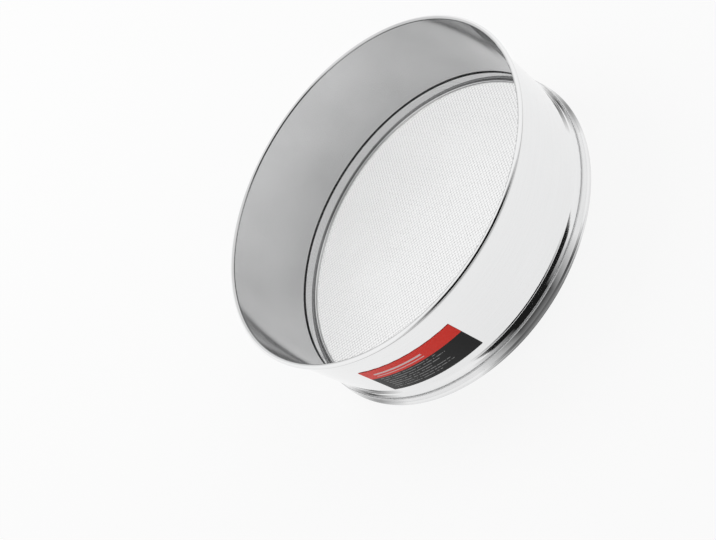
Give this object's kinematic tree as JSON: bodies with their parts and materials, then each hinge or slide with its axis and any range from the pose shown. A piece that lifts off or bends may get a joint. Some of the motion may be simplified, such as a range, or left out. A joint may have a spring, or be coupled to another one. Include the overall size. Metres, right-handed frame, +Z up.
{
  "type": "drum sieve",
  "caption": "Round stainless drum sieve with a rolled rim, a fixed woven wire cloth clamped by an inner hoop, and a stepped base ring.",
  "frame": {"origin": "centre of the circle that the foot stands on", "axes": "+Z up along the drum's axis, from the foot to the rolled rim; the sticker is centred 128 degrees clockwise from +X, seen from above"},
  "size_m": [0.3, 0.3, 0.0936],
  "materials": {
    "drum_steel": "satin outside, fine brushed inside",
    "wire_steel": "drawn wire",
    "ring_steel": "polished, rolled",
    "wire_cloth": "plain-woven stainless wire",
    "hoop_steel": "polished",
    "label_film": "printed film, red above black, no lettering"
  },
  "bodies": {
    "root": {"drum_wall": "drum_steel", "rim_wire": "wire_steel", "base_ring": "ring_steel", "mesh_screen": "wire_cloth", "clamp_hoop": "hoop_steel", "label": "label_film"}
  },
  "joints": []
}
